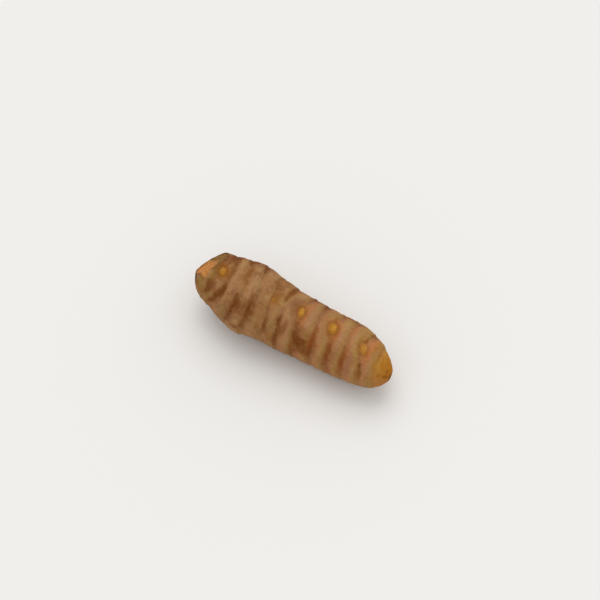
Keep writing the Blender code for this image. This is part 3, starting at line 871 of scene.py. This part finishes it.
def colour_masks(skin, break_masks):
    """Where each colour shows, 0 to 1: what the marks lay on, joined with what the form repeats."""
    masks = {name: skin.mark_mask(marks) for name, marks in skin.marks.items()}
    joint = joint_masks(skin)
    scar = leaf_scar_masks(skin)
    bud = bud_masks(skin)
    seam, rim = scar.pop("seam"), bud.pop("rim")
    mauve = 0.7 * (1 - smooth(-16, 10, skin.x / MM)) * np.clip(0.5 + 0.8 * skin.patchy, 0, 1)
    masks["mauve"] = np.maximum(mauve, masks["mauve"])
    masks["olive"] = np.maximum(joint["olive"] * (1 - 0.4 * mauve), masks["olive"])
    masks["pink"] = np.maximum(joint["pink"] * (1 - masks["olive"]), masks["pink"])
    masks["moss"] = np.maximum(0.7 * seam, masks["moss"])
    masks["rose"] = np.maximum(rim, masks["rose"])
    masks["scab"] = np.maximum(break_masks["scab"], masks["scab"])
    masks["eye"] = skin.mark_mask(skin.root_scars, 0.15)
    masks["blotchy"] = 0.3 + 0.7 * skin.base_half
    return {**joint, **scar, **bud, **tip_masks(skin), **break_masks, **masks}


def store_masks(mesh, skin, break_masks):
    """Writes the colours' masks, and the place that noise is read at, as vertex attributes."""
    for name, values in colour_masks(skin, break_masks).items():
        layer = mesh.attributes.new(name, "FLOAT", "POINT")
        layer.data.foreach_set("value", np.clip(values, 0, 1).astype(np.float32))
    place = mesh.attributes.new("place", "FLOAT_VECTOR", "POINT")
    place.data.foreach_set("vector", skin.place.astype(np.float32).ravel())


class Nodes:
    """Short ways to add nodes to one material."""

    def __init__(self, material):
        self.tree = material.node_tree

    def add(self, kind, inputs=None, **settings):
        """A node with these settings, each input set to a value or linked to an output."""
        made = self.tree.nodes.new(kind)
        for name, value in settings.items():
            setattr(made, name, value)
        for name, value in (inputs or {}).items():
            if isinstance(value, bpy.types.NodeSocket):
                self.tree.links.new(value, made.inputs[name])
            else:
                made.inputs[name].default_value = value
        return made

    def mask(self, name):
        """A vertex attribute's value."""
        return self.add("ShaderNodeAttribute", attribute_name=name).outputs["Fac"]

    def noise(self, vector, scale, detail=3.0, roughness=0.55):
        """Noise about 0 to 1, at this many features to the metre."""
        inputs = {"Vector": vector, "Scale": scale, "Detail": detail, "Roughness": roughness}
        return self.add("ShaderNodeTexNoise", inputs).outputs["Fac"]

    def mapped(self, vector, **inputs):
        """A vector stretched by a Scale or moved by a Location."""
        return self.add("ShaderNodeMapping", {"Vector": vector, **inputs}).outputs[0]

    def math(self, operation, a, b):
        """One arithmetic step."""
        return self.add("ShaderNodeMath", {0: a, 1: b}, operation=operation).outputs[0]

    def range(self, value, low, high, to_low=0.0, to_high=1.0):
        """A value's range stretched to another, with its ends held."""
        inputs = {0: value, 1: low, 2: high, 3: to_low, 4: to_high}
        return self.add("ShaderNodeMapRange", inputs).outputs[0]

    def mix(self, amount, a, b, blend="MIX"):
        """Two colours mixed."""
        inputs = {0: amount, 6: a, 7: b}
        made = self.add("ShaderNodeMix", inputs, data_type="RGBA", blend_type=blend)
        return made.outputs[2]

    def lay(self, colour, name, tone, most, texture=None):
        """A tone laid over a colour where a mask shows, broken up by a texture where one is given."""
        share = most if texture is None else self.range(texture, 0.3, 0.6, 0.75 * most, most)
        return self.mix(self.math("MULTIPLY", self.mask(name), share), colour, tone)


def skin_textures(nodes):
    """The noises that the skin's colour, roughness and bump share."""
    place = nodes.add("ShaderNodeAttribute", attribute_name="place").outputs["Vector"]
    lengthwise = nodes.mapped(place, Scale=(0.25, 1.0, 1.0))
    crosswise = nodes.mapped(place, Scale=(1.0, 0.3, 0.3))
    return {
        "broad": nodes.noise(crosswise, 420, 4),
        "medium": nodes.noise(place, 900, 4, 0.6),
        "grain": nodes.noise(place, 3200, 3, 0.6),
        "fibre": nodes.noise(lengthwise, 2300, 3),
        "wrinkle": nodes.noise(crosswise, 1900, 3),
        "scales": nodes.noise(crosswise, 1100, 3, 0.6),
        "blotches": nodes.noise(place, 260, 3, 0.55),
        "patches": nodes.noise(nodes.mapped(place, Location=(0.3, 0.2, 0.1)), 240, 3, 0.55),
    }


def skin_colour(nodes, textures):
    """Tan skin with the colours of the joints, then blotches, then the marks and leaf scars."""
    medium = textures["medium"]
    colour = nodes.mix(nodes.range(textures["broad"], 0.35, 0.65), TAN_DARK, TAN_LIGHT)
    for name, tone, most in [
        ("young", YOUNG, 0.38),
        ("olive", OLIVE, 0.7),
        ("pink", PINK, 0.8),
        ("rose", ROSE, 0.75),
    ]:
        colour = nodes.lay(colour, name, tone, most, medium)
    for texture, low, high, most, tone in [
        ("patches", 0.53, 0.66, 0.55, TAWNY),
        ("blotches", 0.55, 0.68, 0.75, BLOTCH),
        ("blotches", 0.47, 0.36, 0.65, PALE),
    ]:
        share = nodes.range(textures[texture], low, high, 0.0, most)
        colour = nodes.lay(colour, "blotchy", tone, share)
    for name, tone, most in [
        ("mauve", MAUVE, 0.7),
        ("tawny", TAWNY, 0.8),
        ("pale", PALE, 0.6),
        ("blush", BLUSH, 0.7),
        ("moss", OLIVE_DARK, 0.75),
        ("band", BROWN, 0.95),
        # Brown stains, and painted shade along the top edge.
        ("stain_and_shade", BROWN, 1.0),
        # Dark scar edge, partly painted shade under the ledge.
        ("line", EDGE_LINE_AND_SHADE, 0.35),
        ("russet", RUSSET, 0.75),
        ("eye", BLOTCH, 0.8),
    ]:
        colour = nodes.lay(colour, name, tone, most, medium)
    return colour


def tip_and_bud_colour(nodes, textures, colour):
    """The golden tip with its rusty specks, and the amber buds."""
    gold = nodes.mix(nodes.range(textures["scales"], 0.34, 0.62), GOLD_DARK, GOLD_LIGHT)
    gold = nodes.lay(gold, "end", GOLD_DARK, 0.8)
    colour = nodes.lay(colour, "gold", gold, 0.9)
    colour = nodes.lay(colour, "rust", RUST, 0.8, textures["medium"])
    colour = nodes.lay(colour, "halo", HALO, 0.45)
    amber = nodes.mix(nodes.mask("heart"), AMBER_RIM, AMBER)
    return nodes.mix(nodes.mask("bud"), colour, amber)


def break_colour(nodes, textures, colour):
    """The broken face: brown callus, a darker edge and scabs, and bare orange flesh."""
    medium = textures["medium"]
    callus = nodes.mix(nodes.range(medium, 0.36, 0.64), CALLUS_DARK, CALLUS_LIGHT)
    colour = nodes.lay(colour, "torn", callus, 0.9)
    colour = nodes.lay(colour, "scab", SCAB, 0.9, medium)
    flesh = nodes.mix(nodes.range(medium, 0.38, 0.62), FLESH_DARK, FLESH_LIGHT)
    flesh = nodes.lay(flesh, "flesh_ring", BROWN, 0.25)
    return nodes.mix(nodes.mask("flesh"), colour, flesh)


def grained(nodes, textures, colour):
    """A colour made lighter and darker by the skin's grain and fibres."""
    for texture, low, high in [("grain", 0.81, 1.06), ("fibre", 0.9, 1.08)]:
        shade = nodes.range(textures[texture], 0.3, 0.7, low, high)
        grey = nodes.add("ShaderNodeCombineColor", {0: shade, 1: shade, 2: shade}).outputs[0]
        colour = nodes.mix(1.0, colour, grey, "MULTIPLY")
    return colour


def skin_bump(nodes, textures):
    """Relief too fine for the mesh: fibres along the root, wrinkles round it, and grain."""
    height = nodes.math("ADD", nodes.math("MULTIPLY", textures["fibre"], 0.8), textures["wrinkle"])
    height = nodes.math("ADD", height, nodes.math("MULTIPLY", textures["grain"], 0.5))
    inputs = {"Strength": 0.5, "Distance": 0.12 * MM, "Height": height}
    return nodes.add("ShaderNodeBump", inputs).outputs[0]


def skin_material():
    """Turmeric skin: banded tan, pink and olive, with brown leaf scars and amber buds."""
    material = bpy.data.materials.new("turmeric_skin")
    material.use_nodes = True
    nodes = Nodes(material)
    textures = skin_textures(nodes)
    colour = skin_colour(nodes, textures)
    colour = tip_and_bud_colour(nodes, textures, colour)
    colour = break_colour(nodes, textures, colour)
    rough = nodes.range(textures["medium"], 0.3, 0.7, 0.56, 0.74)
    shader = material.node_tree.nodes["Principled BSDF"]
    nodes.tree.links.new(grained(nodes, textures, colour), shader.inputs["Base Color"])
    nodes.tree.links.new(rough, shader.inputs["Roughness"])
    nodes.tree.links.new(skin_bump(nodes, textures), shader.inputs["Normal"])
    shader.inputs["Specular IOR Level"].default_value = 0.06
    shader.inputs["Subsurface Weight"].default_value = 0.06
    shader.inputs["Subsurface Radius"].default_value = (1.0, 0.45, 0.15)
    shader.inputs["Subsurface Scale"].default_value = 1.2 * MM
    return material


def make_root():
    """The turmeric finger, which stands for the plain solid."""
    root = bpy.data.objects.new("turmeric_root_skin", make_surface())
    bpy.context.scene.collection.objects.link(root)
    root.data.materials.append(skin_material())
    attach(root, "root")
    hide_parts("turmeric_root")


def make_floor():
    """A pale floor, far wider than any view of the root."""
    shape = bmesh.new()
    bmesh.ops.create_circle(shape, cap_ends=True, segments=64, radius=FLOOR_RADIUS)
    mesh = bpy.data.meshes.new("floor")
    shape.to_mesh(mesh)
    shape.free()
    floor = bpy.data.objects.new("floor", mesh)
    floor.location.z = -FLOOR_GAP
    bpy.context.scene.collection.objects.link(floor)
    material = bpy.data.materials.new("floor")
    material.use_nodes = True
    shader = material.node_tree.nodes["Principled BSDF"]
    shader.inputs["Base Color"].default_value = FLOOR_COLOUR
    shader.inputs["Roughness"].default_value = 0.9
    shader.inputs["Specular IOR Level"].default_value = 0.1
    mesh.materials.append(material)


def make_lights():
    """Soft daylight from all round, with one wide soft light above the root and behind it."""
    world = bpy.data.worlds.new("studio")
    world.use_nodes = True
    background = world.node_tree.nodes["Background"]
    background.inputs["Color"].default_value = (1.0, 0.99, 0.97, 1.0)
    background.inputs["Strength"].default_value = SKY_STRENGTH
    bpy.context.scene.world = world
    sun = bpy.data.lights.new("key", "SUN")
    sun.energy = SUN_STRENGTH
    sun.angle = SUN_SPREAD
    sun.color = (1.0, 0.97, 0.92)
    key = bpy.data.objects.new("key", sun)
    key.rotation_euler = SUN_DIRECTION.to_track_quat("-Z", "Y").to_euler()
    bpy.context.scene.collection.objects.link(key)


def make_camera():
    """The photograph's view, with the root where the photograph has it in the frame."""
    back = Vector(
        (
            math.sin(CAMERA_AZIMUTH) * math.cos(CAMERA_ELEVATION),
            -math.cos(CAMERA_AZIMUTH) * math.cos(CAMERA_ELEVATION),
            math.sin(CAMERA_ELEVATION),
        )
    )
    turn = (-back).to_track_quat("-Z", "Y")
    metres_per_pixel = CAMERA_DISTANCE * SENSOR_WIDTH / CAMERA_LENS / FRAME_PIXELS
    right = (ROOT_CENTRE_PIXEL[0] - FRAME_PIXELS / 2) * metres_per_pixel
    down = (ROOT_CENTRE_PIXEL[1] - FRAME_PIXELS / 2) * metres_per_pixel
    aim = ROOT_CENTRE - turn @ Vector((right, -down, 0))
    camera = bpy.data.cameras.new("camera")
    camera.lens = CAMERA_LENS
    camera.sensor_width = SENSOR_WIDTH
    camera.clip_start = 0.01
    camera.clip_end = 100.0
    holder = bpy.data.objects.new("camera", camera)
    holder.rotation_mode = "QUATERNION"
    holder.rotation_quaternion = turn
    holder.location = aim + back * CAMERA_DISTANCE
    bpy.context.scene.collection.objects.link(holder)
    bpy.context.scene.camera = holder


def main():
    make_camera()
    make_lights()
    make_floor()
    make_root()
    bpy.context.scene.view_settings.view_transform = "Standard"


main()
